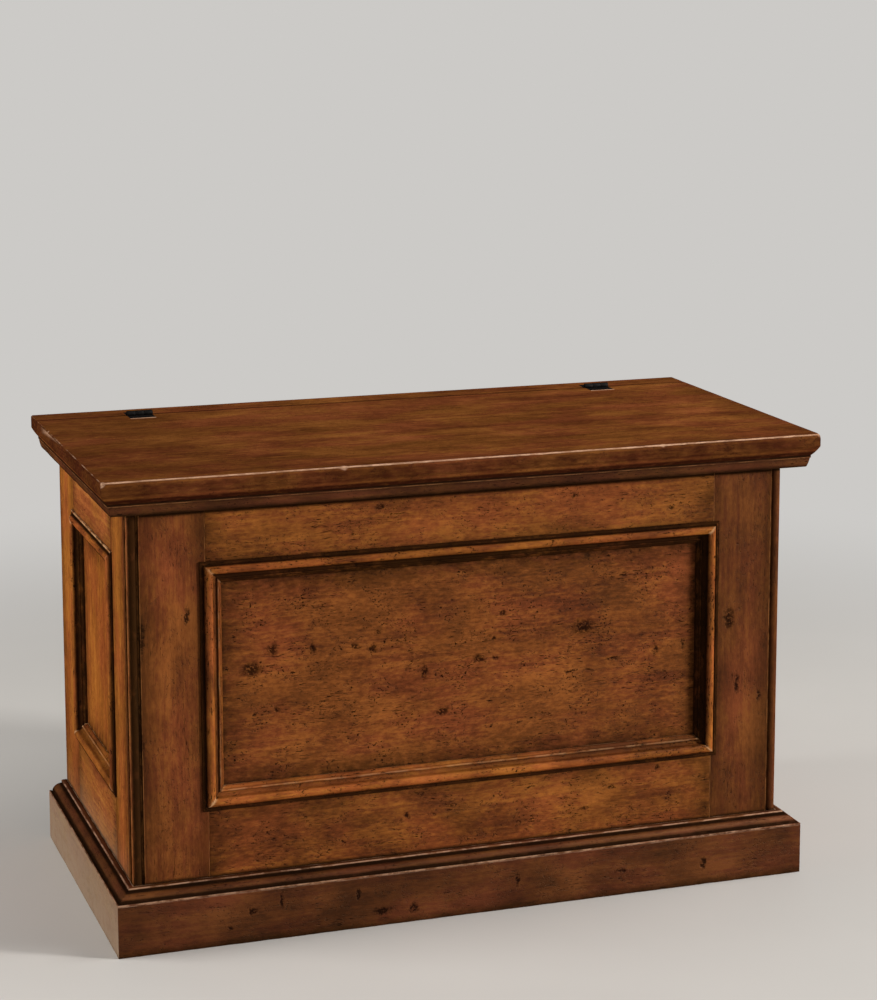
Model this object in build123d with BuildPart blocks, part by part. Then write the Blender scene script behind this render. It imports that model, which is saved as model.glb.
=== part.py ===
from build123d import *
import os

# Cassone: a panelled wooden chest on a plinth, with a lid that lifts on two butt hinges.
# Millimetres. X is the width, Y runs from the front to the back and Z is up.
# The origin is on the floor, under the middle of the chest.

# ------------------------------------------------------------------ driving sizes
BODY_WIDTH = 900.0
BODY_DEPTH = 450.0
BODY_HEIGHT = 586.0         # floor to the rim that the lid closes on

FRAME_THICKNESS = 24.0      # stiles and rails of all four walls
STILE_WIDTH = 100.0         # front and side stiles, as seen from outside
TOP_RAIL_WIDTH = 95.5
PANEL_SILL = 180.0          # floor to the top edge of the bottom rails
RAIL_FOOT = 30.0            # floor to the lower edge of the bottom rails
BACK_STILE_WIDTH = 75.0
BACK_TOP_RAIL_WIDTH = 75.0
BACK_SILL = 140.0

BEAD_RADIUS = 6.5           # round bead worked on the front corners
BEAD_QUIRK = 2.0            # groove on each side of the bead
BEAD_QUIRK_DEPTH = 3.5

TENON_THICKNESS = 8.0
TENON_LENGTH = 34.0
TENON_SHOULDER = 14.0       # rail edge to tenon edge
TENON_FIT = 0.2             # clearance round a tenon

PANEL_THICKNESS = 10.0
PANEL_SETBACK = 9.0         # frame face to panel face
GROOVE_DEPTH = 9.0
PANEL_FIT = 0.2             # clearance behind a panel in its groove
PANEL_PLAY = 0.5            # clearance between a panel's edge and the groove's floor

MOULDING_WIDTH = 30.0       # raised moulding round the panels
MOULDING_LAP = 8.0          # how far it laps onto the frame
MOULDING_FIT = 0.3          # clearance between its rebate and the frame's edge
MOULDING_EDGE = 2.2         # height of its outer fillet above the frame's face
MOULDING_BORDER = 3.6       # width of that fillet
MOULDING_QUIRK = 1.6        # width of the groove between the fillet and the main round
MOULDING_QUIRK_DEPTH = 1.4
MOULDING_ROUND = 12.0       # width of its main round
MOULDING_CREST = 6.0        # height of the main round above the groove's floor
MOULDING_HOLLOW = 5.6       # width of the hollow inside the main round
MOULDING_HOLLOW_SAG = 1.4
MOULDING_BEAD = 3.2         # width of the small bead inside the hollow
MOULDING_BEAD_FOOT = 3.4    # frame face down to the foot of that bead
MOULDING_BEAD_STEP = 0.6    # step under the bead, above the quarter round next to the panel
MOULDING_OVOLO_SAG = 1.1

LID_THICKNESS = 30.0
LID_OVERHANG = 38.0         # beyond the body at the front and both ends
LID_ARRIS = 2.0             # rounding of the upper edges
LID_UNDERCUT_DEPTH = 9.0    # splay of the lower edges, measured inwards
LID_UNDERCUT_HEIGHT = 13.0  # and measured upwards
LID_UNDERCUT_SWELL = 0.8    # bulge of the splay
LID_GAP = 1.5               # seam between the lid and the rear batten
REAR_BATTEN_DEPTH = 46.0
LID_CLEAT_WIDTH = 50.0
LID_CLEAT_THICKNESS = 20.0
LID_CLEAT_CLEARANCE = 30.0  # front wall to a cleat's end, and its other end to the seam
LID_CLEAT_INSET = 156.0     # inside of a side wall to the middle of the cleat next to it
LID_CLEAT_CHAMFER = 6.0

CORNICE_HEIGHT = 16.5
CORNICE_REACH = 28.7        # body face to the cornice's top fillet
CORNICE_FOOT = 24.2         # body face to its lower edge
CORNICE_FILLET = 3.5        # height of the fillet along its upper edge
CORNICE_LIP = 1.0           # how far the fillet stands out from the splayed face below it
CORNICE_SWELL = 0.5         # bulge of that face

PLINTH_HEIGHT = 68.0
PLINTH_THICKNESS = 26.0
PLINTH_MOULDING_HEIGHT = 16.0
PLINTH_NOSE = 8.0           # body face to the edge of the plinth moulding's top fillet
PLINTH_NOSE_RADIUS = 1.5
PLINTH_STEP = 11.5          # height of the ledge below that fillet
PLINTH_LEDGE = 1.6          # width of the ledge
PLINTH_SWELL = 2.8          # bulge of the round below the ledge
PLINTH_FOOT = 4.4           # outer edge to the foot of the round
PLINTH_FILLET = 3.2         # width of the fillet along the outer edge
PLINTH_EDGE = 2.0           # height of that fillet
PLINTH_QUIRK = 1.0          # depth of the groove between it and the round

FLOOR_THICKNESS = 12.0
FLOOR_HEIGHT = 68.0         # underside of the floor boards above the ground
FLOOR_PLAY = 0.4            # clearance between the floor boards and the walls
FLOOR_CLEAT = 20.0          # square strips that carry the floor boards

HINGE_WIDTH = 36.0
HINGE_INSET = 144.0         # end of the lid to the middle of a hinge
HINGE_KNUCKLES = 3          # the middle one is the lid's
LEAF_LENGTH = 24.0          # hinge axis to the end of a leaf
LEAF_THICKNESS = 1.8
LEAF_FIT = 0.2              # clearance round a leaf in its recess
KNUCKLE_RADIUS = 4.0
KNUCKLE_GAP = 0.3           # between neighbouring knuckles
KNUCKLE_CLEARANCE = 0.6     # round the knuckles, in the wood and in the facing leaf
PIN_RADIUS = 1.5
PIN_FIT = 0.05
PIN_END = 1.0               # how far the pin stands out of the knuckles
SCREW_HEAD_RADIUS = 3.2
SCREW_HEAD_HEIGHT = 1.6
SCREW_SHANK_RADIUS = 1.5
SCREW_LENGTH = 20.0
SCREW_FIT = 0.05
SCREW_ROW = 12.0            # middle of a hinge to its outer screws
SCREW_NEAR = 9.5            # hinge axis to the middle screw
SCREW_FAR = 18.0            # hinge axis to the outer screws
CLEAT_SCREW_LENGTH = 38.0
CLEAT_SCREW_INSET = 50.0    # end of a lid cleat to its outer screws

# ------------------------------------------------------------------ places worked out from them
HALF_WIDTH = BODY_WIDTH / 2
FRONT = LID_OVERHANG - (BODY_DEPTH + LID_OVERHANG) / 2
BACK = FRONT + BODY_DEPTH
MIDDLE = (FRONT + BACK) / 2
PANEL_TOP = BODY_HEIGHT - TOP_RAIL_WIDTH
INNER_FRONT = FRONT + FRAME_THICKNESS
INNER_BACK = BACK - FRAME_THICKNESS
INNER_HALF_WIDTH = HALF_WIDTH - FRAME_THICKNESS
TENON_SETBACK = (FRAME_THICKNESS - TENON_THICKNESS) / 2
LID_TOP = BODY_HEIGHT + LID_THICKNESS
LID_HALF_WIDTH = HALF_WIDTH + LID_OVERHANG
LID_FRONT = FRONT - LID_OVERHANG
SEAM = BACK - REAR_BATTEN_DEPTH
HINGE_HEIGHT = LID_TOP - LEAF_THICKNESS + KNUCKLE_RADIUS
HINGE_OFFSET = LID_HALF_WIDTH - HINGE_INSET
LID_CLEAT_OFFSET = INNER_HALF_WIDTH - LID_CLEAT_INSET
LID_CLEAT_FRONT = INNER_FRONT + LID_CLEAT_CLEARANCE
LID_CLEAT_BACK = SEAM - LID_CLEAT_CLEARANCE
MITRE_REACH = 2 * max(CORNICE_REACH, PLINTH_THICKNESS, MOULDING_WIDTH)

# Planes of the outer wall faces: x runs to the right as seen from outside, y is up, z points out.
FRONT_WALL = Plane(origin=(0, FRONT, 0), x_dir=(1, 0, 0), z_dir=(0, -1, 0))
LEFT_WALL = Plane(origin=(-HALF_WIDTH, 0, 0), x_dir=(0, -1, 0), z_dir=(-1, 0, 0))
BACK_WALL = Plane(origin=(0, BACK, 0), x_dir=(-1, 0, 0), z_dir=(0, 1, 0))

pieces = {}


# ------------------------------------------------------------------ general shapes
def area(x0, x1, y0, y1, mode=Mode.ADD):
    """A rectangle in the sketch that is open, given by its limits."""
    with Locations(((x0 + x1) / 2, (y0 + y1) / 2)):
        Rectangle(x1 - x0, y1 - y0, mode=mode)


def board(plane, x0, x1, y0, y1, thickness):
    """A plain board that lies behind the given plane."""
    with BuildPart() as piece:
        with BuildSketch(plane):
            area(x0, x1, y0, y1)
        extrude(amount=-thickness)
    return piece.part


def strip(plane, outline, length, start_lean, end_lean):
    """A length of moulding along the plane's z, with the section that outline draws on the plane.

    A lean of -1 is a mitre that makes the strip longer with the section's x, 1 one that makes
    it shorter, and 0 a square end. The length is measured where the section's x is 0.
    """
    reach = length / 2 + MITRE_REACH
    with BuildPart() as piece:
        with BuildSketch(plane):
            with BuildLine():
                outline()
            make_face()
        extrude(amount=reach, both=True)
        for end, lean in ((-1, start_lean), (1, end_lean)):
            corner = plane.origin + plane.z_dir * (end * length / 2)
            facing = plane.z_dir * end + plane.x_dir * lean
            split(bisect_by=Plane(origin=corner, z_dir=facing), keep=Keep.BOTTOM)
    return piece.part


def mirrored(piece):
    """The same piece on the other side of the chest."""
    with BuildPart() as twin:
        add(piece)
        mirror(about=Plane.YZ, mode=Mode.REPLACE)
    return twin.part


# ------------------------------------------------------------------ frames and panels
def rail(wall, left, right, low, high, panel_edge):
    """A rail with a tenon at each end and a panel groove along one edge: 1 the upper, -1 the lower."""
    edge = high if panel_edge > 0 else low
    groove = sorted((edge, edge - panel_edge * GROOVE_DEPTH))
    with BuildPart() as piece:
        with BuildSketch(wall):
            area(left, right, low, high)
        extrude(amount=-FRAME_THICKNESS)
        with BuildSketch(wall.offset(-TENON_SETBACK)):
            area(left - TENON_LENGTH, right + TENON_LENGTH, low + TENON_SHOULDER, high - TENON_SHOULDER)
        extrude(amount=-TENON_THICKNESS)
        with BuildSketch(wall.offset(-PANEL_SETBACK)):
            area(left, right, *groove)
        extrude(amount=-PANEL_THICKNESS - PANEL_FIT, mode=Mode.SUBTRACT)
    return piece.part


def stile_cuts(wall, edge, side, rails, opening):
    """What is cut from a stile's inner edge: a mortise for each rail, and the panel's groove.

    The wood lies on the given side of the edge: -1 to the left of it, 1 to the right.
    """
    mortise = sorted((edge, edge + side * (TENON_LENGTH + TENON_FIT)))
    groove = sorted((edge, edge + side * GROOVE_DEPTH))
    with BuildPart() as cuts:
        with BuildSketch(wall.offset(-TENON_SETBACK + TENON_FIT)):
            for low, high in rails:
                area(*mortise, low + TENON_SHOULDER - TENON_FIT, high - TENON_SHOULDER + TENON_FIT)
        extrude(amount=-TENON_THICKNESS - 2 * TENON_FIT)
        with BuildSketch(wall.offset(-PANEL_SETBACK)):
            area(*groove, opening[0] - GROOVE_DEPTH, opening[1] + GROOVE_DEPTH)
        extrude(amount=-PANEL_THICKNESS - PANEL_FIT)
    return cuts.part


def stile(wall, edge, width, side, rails, opening):
    """A plain stile, from the floor to the rim. Its inner edge and side are those of stile_cuts."""
    cuts = stile_cuts(wall, edge, side, rails, opening)
    with BuildPart() as piece:
        with BuildSketch(wall):
            area(*sorted((edge, edge + side * width)), 0, BODY_HEIGHT)
        extrude(amount=-FRAME_THICKNESS)
        add(cuts, mode=Mode.SUBTRACT)
    return piece.part


def panel(wall, left, right, low, high):
    """A flat panel that reaches into the grooves all round the opening."""
    reach = GROOVE_DEPTH - PANEL_PLAY
    return board(wall.offset(-PANEL_SETBACK), left - reach, right + reach, low - reach, high + reach,
                 PANEL_THICKNESS)


def panel_moulding_outline():
    """Section of the moulding: x runs towards the panel, y stands out from the frame's face."""
    rebate = MOULDING_LAP + MOULDING_FIT
    foot = MOULDING_EDGE - MOULDING_QUIRK_DEPTH
    round_start = MOULDING_BORDER + MOULDING_QUIRK
    round_end = round_start + MOULDING_ROUND
    bead_start = round_end + MOULDING_HOLLOW
    bead_end = bead_start + MOULDING_BEAD
    base = Polyline((MOULDING_WIDTH, -PANEL_SETBACK), (rebate, -PANEL_SETBACK), (rebate, 0), (0, 0),
                    (0, MOULDING_EDGE), (MOULDING_BORDER, MOULDING_EDGE), (MOULDING_BORDER, foot),
                    (round_start, foot))
    crest = SagittaArc(base @ 1, (round_end, foot), MOULDING_CREST)
    hollow = SagittaArc(crest @ 1, (bead_start, -MOULDING_BEAD_FOOT), -MOULDING_HOLLOW_SAG)
    bead = SagittaArc(hollow @ 1, (bead_end, -MOULDING_BEAD_FOOT), MOULDING_BEAD / 2)
    step = Line(bead @ 1, (bead_end, -MOULDING_BEAD_FOOT - MOULDING_BEAD_STEP))
    SagittaArc(step @ 1, base @ 0, MOULDING_OVOLO_SAG)


def panel_mouldings(wall, left, right, low, high):
    """The four mitred lengths round a panel's opening, which they lap: left, right, low and high."""
    left, right = left - MOULDING_LAP, right + MOULDING_LAP
    low, high = low - MOULDING_LAP, high + MOULDING_LAP
    centre_x, centre_y = (left + right) / 2, (low + high) / 2
    members = (
        ((left, centre_y), wall.x_dir, high - low),
        ((right, centre_y), -wall.x_dir, high - low),
        ((centre_x, low), wall.y_dir, right - left),
        ((centre_x, high), -wall.y_dir, right - left),
    )
    strips = []
    for (x, y), inwards, length in members:
        section = Plane(origin=wall.from_local_coords((x, y, 0)), x_dir=inwards,
                        z_dir=inwards.cross(wall.z_dir))
        strips.append(strip(section, panel_moulding_outline, length, 1, 1))
    return strips


FRAME_OPENING = (PANEL_SILL, PANEL_TOP)
FRAME_RAILS = ((RAIL_FOOT, PANEL_SILL), (PANEL_TOP, BODY_HEIGHT))


def beaded_stile():
    """The front left stile: its outer corner is a bead between two quirks."""
    outer, inner = -HALF_WIDTH, STILE_WIDTH - HALF_WIDTH
    zone = 2 * BEAD_RADIUS + BEAD_QUIRK
    cuts = stile_cuts(FRONT_WALL, inner, -1, FRAME_RAILS, FRAME_OPENING)
    with BuildPart() as piece:
        with BuildSketch(Plane.XY):
            area(outer, inner, FRONT, INNER_FRONT)
            area(outer, outer + zone, FRONT, FRONT + zone, mode=Mode.SUBTRACT)
            area(outer + BEAD_QUIRK_DEPTH, outer + zone, FRONT + BEAD_QUIRK_DEPTH, FRONT + zone)
            with Locations((outer + BEAD_RADIUS, FRONT + BEAD_RADIUS)):
                Circle(BEAD_RADIUS)
        extrude(amount=BODY_HEIGHT)
        add(cuts, mode=Mode.SUBTRACT)
    return piece.part


def front_wall():
    side = HALF_WIDTH - STILE_WIDTH
    mouldings = panel_mouldings(FRONT_WALL, -side, side, *FRAME_OPENING)
    pieces["front_left_stile"] = beaded_stile()
    pieces["front_right_stile"] = mirrored(pieces["front_left_stile"])
    pieces["front_bottom_rail"] = rail(FRONT_WALL, -side, side, RAIL_FOOT, PANEL_SILL, 1)
    pieces["front_top_rail"] = rail(FRONT_WALL, -side, side, PANEL_TOP, BODY_HEIGHT, -1)
    pieces["front_panel"] = panel(FRONT_WALL, -side, side, *FRAME_OPENING)
    for place, piece in zip(("left", "right", "bottom", "top"), mouldings):
        pieces[f"front_{place}_moulding"] = piece


def side_walls():
    """The left wall, between the front stile and the rear of the chest, and its mirror image."""
    rear = -BACK + STILE_WIDTH
    fore = -FRONT - STILE_WIDTH
    fore_width = STILE_WIDTH - FRAME_THICKNESS
    mouldings = panel_mouldings(LEFT_WALL, rear, fore, *FRAME_OPENING)
    wall = {
        "front_stile": stile(LEFT_WALL, fore, fore_width, 1, FRAME_RAILS, FRAME_OPENING),
        "back_stile": stile(LEFT_WALL, rear, STILE_WIDTH, -1, FRAME_RAILS, FRAME_OPENING),
        "bottom_rail": rail(LEFT_WALL, rear, fore, RAIL_FOOT, PANEL_SILL, 1),
        "top_rail": rail(LEFT_WALL, rear, fore, PANEL_TOP, BODY_HEIGHT, -1),
        "panel": panel(LEFT_WALL, rear, fore, *FRAME_OPENING),
    }
    for place, piece in zip(("back", "front", "bottom", "top"), mouldings):
        wall[f"{place}_moulding"] = piece
    for name, piece in wall.items():
        pieces[f"left_{name}"] = piece
        pieces[f"right_{name}"] = mirrored(piece)


def back_wall():
    """A plain frame and panel between the side walls."""
    side = INNER_HALF_WIDTH - BACK_STILE_WIDTH
    opening = (BACK_SILL, BODY_HEIGHT - BACK_TOP_RAIL_WIDTH)
    rails = ((RAIL_FOOT, BACK_SILL), (opening[1], BODY_HEIGHT))
    # seen from behind, the chest's right side is on the left
    pieces["back_right_stile"] = stile(BACK_WALL, -side, BACK_STILE_WIDTH, -1, rails, opening)
    pieces["back_left_stile"] = stile(BACK_WALL, side, BACK_STILE_WIDTH, 1, rails, opening)
    pieces["back_bottom_rail"] = rail(BACK_WALL, -side, side, *rails[0], 1)
    pieces["back_top_rail"] = rail(BACK_WALL, -side, side, *rails[1], -1)
    pieces["back_panel"] = panel(BACK_WALL, -side, side, *opening)


# ------------------------------------------------------------------ cornice and plinth
def cornice_outline():
    """Section of the cornice: x stands out from the body, y is up."""
    fillet_foot = CORNICE_HEIGHT - CORNICE_FILLET
    base = Polyline((CORNICE_FOOT, 0), (0, 0), (0, CORNICE_HEIGHT), (CORNICE_REACH, CORNICE_HEIGHT),
                    (CORNICE_REACH, fillet_foot), (CORNICE_REACH - CORNICE_LIP, fillet_foot))
    SagittaArc(base @ 1, base @ 0, CORNICE_SWELL)


def plinth_board_outline():
    Polyline((0, 0), (PLINTH_THICKNESS, 0), (PLINTH_THICKNESS, PLINTH_HEIGHT), (0, PLINTH_HEIGHT),
             close=True)


def plinth_moulding_outline():
    """Section of the plinth's moulding: a fillet on the outer edge, a round and a fillet on top."""
    top = PLINTH_MOULDING_HEIGHT
    fillet_back = PLINTH_THICKNESS - PLINTH_FILLET
    groove = PLINTH_EDGE - PLINTH_QUIRK
    base = Polyline((PLINTH_NOSE - PLINTH_NOSE_RADIUS, top), (0, top), (0, 0), (PLINTH_THICKNESS, 0),
                    (PLINTH_THICKNESS, PLINTH_EDGE), (fillet_back, PLINTH_EDGE), (fillet_back, groove),
                    (PLINTH_THICKNESS - PLINTH_FOOT, groove))
    swell = SagittaArc(base @ 1, (PLINTH_NOSE + PLINTH_LEDGE, PLINTH_STEP), -PLINTH_SWELL)
    steps = Polyline(swell @ 1, (PLINTH_NOSE, PLINTH_STEP), (PLINTH_NOSE, top - PLINTH_NOSE_RADIUS))
    RadiusArc(steps @ 1, base @ 0, -PLINTH_NOSE_RADIUS)


def surround(name, outline, height):
    """A strip round the front and both ends of the body, mitred at the front corners."""
    front = Plane(origin=(0, FRONT, height), x_dir=(0, -1, 0), z_dir=(-1, 0, 0))
    left = Plane(origin=(-HALF_WIDTH, MIDDLE, height), x_dir=(-1, 0, 0), z_dir=(0, 1, 0))
    pieces[f"{name}_front"] = strip(front, outline, BODY_WIDTH, -1, -1)
    pieces[f"{name}_left"] = strip(left, outline, BODY_DEPTH, -1, 0)
    pieces[f"{name}_right"] = mirrored(pieces[f"{name}_left"])


# ------------------------------------------------------------------ floor
def chest_floor():
    """Two floor boards on a ring of cleats."""
    level = Plane.XY.offset(FLOOR_HEIGHT)
    half = INNER_HALF_WIDTH - FLOOR_PLAY
    front, back = INNER_FRONT + FLOOR_PLAY, INNER_BACK - FLOOR_PLAY
    inner = INNER_HALF_WIDTH - FLOOR_CLEAT
    boards = level.offset(FLOOR_THICKNESS)
    pieces["floor_board_front"] = board(boards, -half, half, front, MIDDLE - FLOOR_PLAY / 2,
                                        FLOOR_THICKNESS)
    pieces["floor_board_back"] = board(boards, -half, half, MIDDLE + FLOOR_PLAY / 2, back,
                                       FLOOR_THICKNESS)
    pieces["floor_cleat_front"] = board(level, -INNER_HALF_WIDTH, INNER_HALF_WIDTH, INNER_FRONT,
                                        INNER_FRONT + FLOOR_CLEAT, FLOOR_CLEAT)
    pieces["floor_cleat_back"] = board(level, -INNER_HALF_WIDTH, INNER_HALF_WIDTH,
                                       INNER_BACK - FLOOR_CLEAT, INNER_BACK, FLOOR_CLEAT)
    pieces["floor_cleat_left"] = board(level, -INNER_HALF_WIDTH, -inner, INNER_FRONT + FLOOR_CLEAT,
                                       INNER_BACK - FLOOR_CLEAT, FLOOR_CLEAT)
    pieces["floor_cleat_right"] = mirrored(pieces["floor_cleat_left"])


# ------------------------------------------------------------------ screws and hinges
HINGE_SCREWS = ((-SCREW_ROW, SCREW_FAR), (0, SCREW_NEAR), (SCREW_ROW, SCREW_FAR))
HINGE_CENTRES = (-HINGE_OFFSET, HINGE_OFFSET)


def screws(plane, places, length, fit=0.0):
    """Countersunk screws, heads flush with the plane. With a fit, the holes that they go in."""
    with BuildPart() as piece:
        with Locations(plane):
            with Locations(*places):
                Cylinder(SCREW_SHANK_RADIUS + fit, length, align=(Align.CENTER, Align.CENTER, Align.MAX))
                Cone(SCREW_SHANK_RADIUS + fit, SCREW_HEAD_RADIUS + fit, SCREW_HEAD_HEIGHT,
                     align=(Align.CENTER, Align.CENTER, Align.MAX))
    return piece.part


def screw_places(side):
    """The screws of both hinges on the lid's side (-1) or on the batten's side (1) of the seam."""
    return [(x + row, SEAM + side * along) for x in HINGE_CENTRES for row, along in HINGE_SCREWS]


def leaf_recesses(side):
    """What is cut from the lid or the rear batten for the leaves and the knuckles of both hinges."""
    half = HINGE_WIDTH / 2 + LEAF_FIT
    far = SEAM + side * (LEAF_LENGTH + LEAF_FIT)
    trough = SEAM + side * (KNUCKLE_RADIUS + KNUCKLE_CLEARANCE)
    with BuildPart() as cuts:
        with BuildSketch(Plane.XY.offset(LID_TOP)):
            for x in HINGE_CENTRES:
                area(x - half, x + half, *sorted((SEAM, far)))
        extrude(amount=-LEAF_THICKNESS)
        with BuildSketch(Plane.XY.offset(LID_TOP)):
            for x in HINGE_CENTRES:
                area(x - half, x + half, *sorted((SEAM, trough)))
        extrude(amount=-LEAF_THICKNESS - KNUCKLE_CLEARANCE)
    return cuts.part


def hinge_leaf(centre, side, knuckles):
    """One leaf, let in flush, with its knuckles given as spans along the pin."""
    near = SEAM + side * (KNUCKLE_RADIUS + KNUCKLE_CLEARANCE)
    far = SEAM + side * LEAF_LENGTH
    half = HINGE_WIDTH / 2
    top = Plane.XY.offset(LID_TOP)
    bottom = Plane.XY.offset(LID_TOP - LEAF_THICKNESS)
    places = [(centre + row, SEAM + side * along) for row, along in HINGE_SCREWS]
    holes = screws(top, places, LEAF_THICKNESS, SCREW_FIT)
    across = Plane(origin=(0, SEAM, HINGE_HEIGHT), x_dir=(0, 1, 0), z_dir=(1, 0, 0))
    with BuildPart() as piece:
        with BuildSketch(bottom):
            area(centre - half, centre + half, *sorted((near, far)))
            for start, end in knuckles:
                area(centre + start, centre + end, *sorted((SEAM, near)))
        extrude(amount=LEAF_THICKNESS)
        for start, end in knuckles:
            with BuildSketch(across.offset(centre + start)):
                Circle(KNUCKLE_RADIUS)
            extrude(amount=end - start)
        with BuildSketch(across.offset(centre - half)):
            Circle(PIN_RADIUS + PIN_FIT)
        extrude(amount=HINGE_WIDTH, mode=Mode.SUBTRACT)
        add(holes, mode=Mode.SUBTRACT)
    return piece.part


def hinge_pin(centre):
    half = HINGE_WIDTH / 2 + PIN_END
    across = Plane(origin=(centre - half, SEAM, HINGE_HEIGHT), x_dir=(0, 1, 0), z_dir=(1, 0, 0))
    with BuildPart() as piece:
        with BuildSketch(across):
            Circle(PIN_RADIUS)
        extrude(amount=2 * half)
    return piece.part


def hinges():
    half = HINGE_WIDTH / 2
    joint = half / HINGE_KNUCKLES   # centre of the hinge to the joints between its knuckles
    outer = ((-half, -joint - KNUCKLE_GAP / 2), (joint + KNUCKLE_GAP / 2, half))
    middle = ((-joint + KNUCKLE_GAP / 2, joint - KNUCKLE_GAP / 2),)
    top = Plane.XY.offset(LID_TOP)
    for place, centre in zip(("left", "right"), HINGE_CENTRES):
        pieces[f"{place}_hinge_fixed_leaf"] = hinge_leaf(centre, 1, outer)
        pieces[f"{place}_hinge_lid_leaf"] = hinge_leaf(centre, -1, middle)
        pieces[f"{place}_hinge_pin"] = hinge_pin(centre)
    pieces["hinge_fixed_leaf_screws"] = screws(top, screw_places(1), SCREW_LENGTH)
    pieces["hinge_lid_leaf_screws"] = screws(top, screw_places(-1), SCREW_LENGTH)


# ------------------------------------------------------------------ lid and rear batten
def edge_corner(side, reach):
    """Section of a slab from its middle out to its moulded edge, on the given side."""
    lower = side * (reach - LID_UNDERCUT_DEPTH)
    base = Polyline((side * (reach - LID_ARRIS), LID_TOP), (0, LID_TOP), (0, BODY_HEIGHT),
                    (lower, BODY_HEIGHT))
    edge = Line((side * reach, BODY_HEIGHT + LID_UNDERCUT_HEIGHT), (side * reach, LID_TOP - LID_ARRIS))
    SagittaArc(edge @ 0, base @ 1, side * LID_UNDERCUT_SWELL)
    RadiusArc(edge @ 1, base @ 0, -side * LID_ARRIS)


def slab(front, back):
    """A slab at the lid's level with both ends moulded, between two Y limits."""
    with BuildPart() as piece:
        with BuildSketch(Plane.XZ.offset(-back)):
            for side in (-1, 1):
                with BuildLine():
                    edge_corner(side, LID_HALF_WIDTH)
                make_face()
        extrude(amount=back - front)
    return piece.part


def lid_board():
    """The lid: a slab whose front edge is moulded too, with recesses for the hinges."""
    back = SEAM - LID_GAP / 2
    whole = slab(LID_FRONT, back)
    recesses = leaf_recesses(-1)
    holes = screws(Plane.XY.offset(LID_TOP), screw_places(-1), SCREW_LENGTH, SCREW_FIT)
    cleat_holes = cleat_screws(SCREW_FIT)
    with BuildPart() as piece:
        add(whole)
        with BuildSketch(Plane.YZ.offset(-LID_HALF_WIDTH)):
            with BuildLine():
                edge_corner(-1, -LID_FRONT)
            make_face()
            area(0, back, BODY_HEIGHT, LID_TOP)
        extrude(amount=2 * LID_HALF_WIDTH, mode=Mode.INTERSECT)
        add(recesses, mode=Mode.SUBTRACT)
        add(holes, mode=Mode.SUBTRACT)
        add(cleat_holes, mode=Mode.SUBTRACT)
    return piece.part


def rear_batten():
    whole = slab(SEAM + LID_GAP / 2, BACK)
    recesses = leaf_recesses(1)
    holes = screws(Plane.XY.offset(LID_TOP), screw_places(1), SCREW_LENGTH, SCREW_FIT)
    with BuildPart() as piece:
        add(whole)
        add(recesses, mode=Mode.SUBTRACT)
        add(holes, mode=Mode.SUBTRACT)
    return piece.part


def cleat_screws(fit=0.0):
    """The screws that hold the lid's cleats from below, or their holes."""
    below = Plane(origin=(0, 0, BODY_HEIGHT - LID_CLEAT_THICKNESS), x_dir=(1, 0, 0), z_dir=(0, 0, -1))
    rows = (LID_CLEAT_FRONT + CLEAT_SCREW_INSET, (LID_CLEAT_FRONT + LID_CLEAT_BACK) / 2,
            LID_CLEAT_BACK - CLEAT_SCREW_INSET)
    places = [(side * LID_CLEAT_OFFSET, -row) for side in (-1, 1) for row in rows]
    return screws(below, places, CLEAT_SCREW_LENGTH, fit)


def lid_cleat(side):
    """A strip under the lid, across its width, with chamfered lower ends."""
    centre = side * LID_CLEAT_OFFSET
    holes = cleat_screws(SCREW_FIT)
    with BuildPart() as piece:
        with BuildSketch(Plane.XY.offset(BODY_HEIGHT)):
            area(centre - LID_CLEAT_WIDTH / 2, centre + LID_CLEAT_WIDTH / 2,
                 LID_CLEAT_FRONT, LID_CLEAT_BACK)
        extrude(amount=-LID_CLEAT_THICKNESS)
        chamfer(piece.faces().sort_by(Axis.Z)[0].edges(), LID_CLEAT_CHAMFER)
        add(holes, mode=Mode.SUBTRACT)
    return piece.part


def lid():
    pieces["rear_batten"] = rear_batten()
    pieces["lid_board"] = lid_board()
    pieces["lid_left_cleat"] = lid_cleat(-1)
    pieces["lid_right_cleat"] = lid_cleat(1)
    pieces["lid_cleat_screws"] = cleat_screws()


# ------------------------------------------------------------------ the whole chest
front_wall()
side_walls()
back_wall()
surround("cornice", cornice_outline, BODY_HEIGHT - CORNICE_HEIGHT)
surround("plinth", plinth_board_outline, 0)
surround("plinth_moulding", plinth_moulding_outline, PLINTH_HEIGHT)
chest_floor()
lid()
hinges()

os.makedirs("parts", exist_ok=True)
for name, piece in pieces.items():
    piece.label = name
    export_step(piece, f"parts/{name}.step")
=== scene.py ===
"""The looks of the cassone: old waxed walnut with worn arrises, and black iron hinges."""
import math
import random

import bpy
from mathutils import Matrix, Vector, noise

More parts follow.
